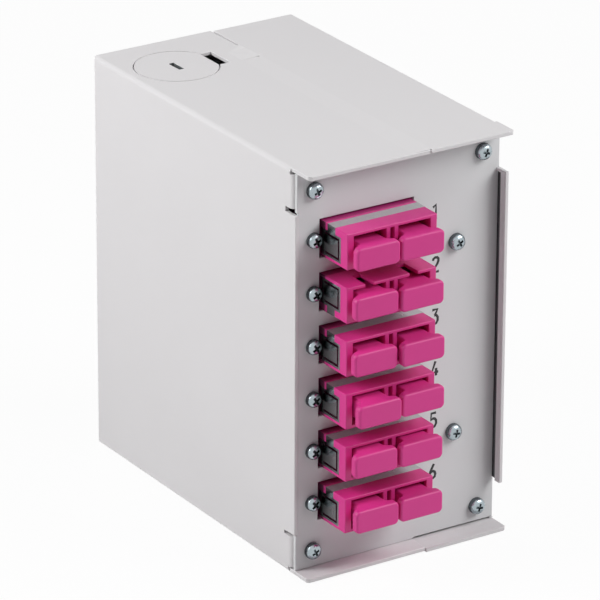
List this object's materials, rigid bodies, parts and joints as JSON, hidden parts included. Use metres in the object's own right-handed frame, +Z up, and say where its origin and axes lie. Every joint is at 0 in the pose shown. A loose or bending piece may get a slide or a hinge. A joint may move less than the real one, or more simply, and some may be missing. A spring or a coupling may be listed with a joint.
{
  "type": "DIN rail fibre box",
  "caption": "Light grey sheet-steel fibre termination box for a DIN rail, with a column of magenta SC duplex adapters under push-in dust caps.",
  "frame": {"origin": "under the middle of the whole box, on the surface it stands on", "axes": "+X to the right seen from the front, +Y from the front panel to the rail clip, +Z up"},
  "size_m": [0.0592, 0.123, 0.1065],
  "materials": {
    "grey_paint": "fine powder coat",
    "adapter_plastic": "satin",
    "holder_plastic": "satin",
    "spring_steel": "rolled",
    "cap_plastic": "soft satin",
    "zinc_screws": "bright zinc",
    "zinc_sheet": "galvanised",
    "tray_plastic": "matt",
    "clip_plastic": "matt"
  },
  "bodies": {
    "box": {"left_shell": "grey_paint", "right_shell": "grey_paint", "front_panel": "grey_paint", "adapter_front_1": "adapter_plastic", "adapter_rear_1": "adapter_plastic", "adapter_clip_1": "spring_steel", "sleeve_holders_1": "holder_plastic", "adapter_front_2": "adapter_plastic", "adapter_rear_2": "adapter_plastic", "adapter_clip_2": "spring_steel", "sleeve_holders_2": "holder_plastic", "adapter_front_3": "adapter_plastic", "adapter_rear_3": "adapter_plastic", "adapter_clip_3": "spring_steel", "sleeve_holders_3": "holder_plastic", "adapter_front_4": "adapter_plastic", "adapter_rear_4": "adapter_plastic", "adapter_clip_4": "spring_steel", "sleeve_holders_4": "holder_plastic", "adapter_front_5": "adapter_plastic", "adapter_rear_5": "adapter_plastic", "adapter_clip_5": "spring_steel", "sleeve_holders_5": "holder_plastic", "adapter_front_6": "adapter_plastic", "adapter_rear_6": "adapter_plastic", "adapter_clip_6": "spring_steel", "sleeve_holders_6": "holder_plastic", "panel_screws": "zinc_screws", "adapter_screws": "zinc_screws", "shell_screws": "zinc_screws", "din_clip_screws": "zinc_screws", "tray_screws": "zinc_screws", "tray_bracket": "zinc_sheet", "splice_tray": "tray_plastic", "splice_comb": "tray_plastic", "din_clip_body": "clip_plastic", "din_clip_spring": "spring_steel"},
    "dust_cap_1_left": {"dust_cap_1_left": "cap_plastic"},
    "dust_cap_1_right": {"dust_cap_1_right": "cap_plastic"},
    "dust_cap_2_left": {"dust_cap_2_left": "cap_plastic"},
    "dust_cap_2_right": {"dust_cap_2_right": "cap_plastic"},
    "dust_cap_3_left": {"dust_cap_3_left": "cap_plastic"},
    "dust_cap_3_right": {"dust_cap_3_right": "cap_plastic"},
    "dust_cap_4_left": {"dust_cap_4_left": "cap_plastic"},
    "dust_cap_4_right": {"dust_cap_4_right": "cap_plastic"},
    "dust_cap_5_left": {"dust_cap_5_left": "cap_plastic"},
    "dust_cap_5_right": {"dust_cap_5_right": "cap_plastic"},
    "dust_cap_6_left": {"dust_cap_6_left": "cap_plastic"},
    "dust_cap_6_right": {"dust_cap_6_right": "cap_plastic"},
    "rail_latch": {"din_clip_latch": "clip_plastic"}
  },
  "joints": [
    {"name": "dust_cap_1_left_pull", "type": "slide", "parent": "box", "child": "dust_cap_1_left", "axis": [0, -1, 0], "range_m": [0, 0.015]},
    {"name": "dust_cap_1_right_pull", "type": "slide", "parent": "box", "child": "dust_cap_1_right", "axis": [0, -1, 0], "range_m": [0, 0.015]},
    {"name": "dust_cap_2_left_pull", "type": "slide", "parent": "box", "child": "dust_cap_2_left", "axis": [0, -1, 0], "range_m": [0, 0.015]},
    {"name": "dust_cap_2_right_pull", "type": "slide", "parent": "box", "child": "dust_cap_2_right", "axis": [0, -1, 0], "range_m": [0, 0.015]},
    {"name": "dust_cap_3_left_pull", "type": "slide", "parent": "box", "child": "dust_cap_3_left", "axis": [0, -1, 0], "range_m": [0, 0.015]},
    {"name": "dust_cap_3_right_pull", "type": "slide", "parent": "box", "child": "dust_cap_3_right", "axis": [0, -1, 0], "range_m": [0, 0.015]},
    {"name": "dust_cap_4_left_pull", "type": "slide", "parent": "box", "child": "dust_cap_4_left", "axis": [0, -1, 0], "range_m": [0, 0.015]},
    {"name": "dust_cap_4_right_pull", "type": "slide", "parent": "box", "child": "dust_cap_4_right", "axis": [0, -1, 0], "range_m": [0, 0.015]},
    {"name": "dust_cap_5_left_pull", "type": "slide", "parent": "box", "child": "dust_cap_5_left", "axis": [0, -1, 0], "range_m": [0, 0.015]},
    {"name": "dust_cap_5_right_pull", "type": "slide", "parent": "box", "child": "dust_cap_5_right", "axis": [0, -1, 0], "range_m": [0, 0.015]},
    {"name": "dust_cap_6_left_pull", "type": "slide", "parent": "box", "child": "dust_cap_6_left", "axis": [0, -1, 0], "range_m": [0, 0.015]},
    {"name": "dust_cap_6_right_pull", "type": "slide", "parent": "box", "child": "dust_cap_6_right", "axis": [0, -1, 0], "range_m": [0, 0.015]},
    {"name": "rail_latch_slide", "type": "slide", "parent": "box", "child": "rail_latch", "axis": [0, 0, -1], "range_m": [0, 0.004], "stiffness_N_per_m": 800, "springref_m": -0.002, "deforming": ["din_clip_spring"]}
  ]
}
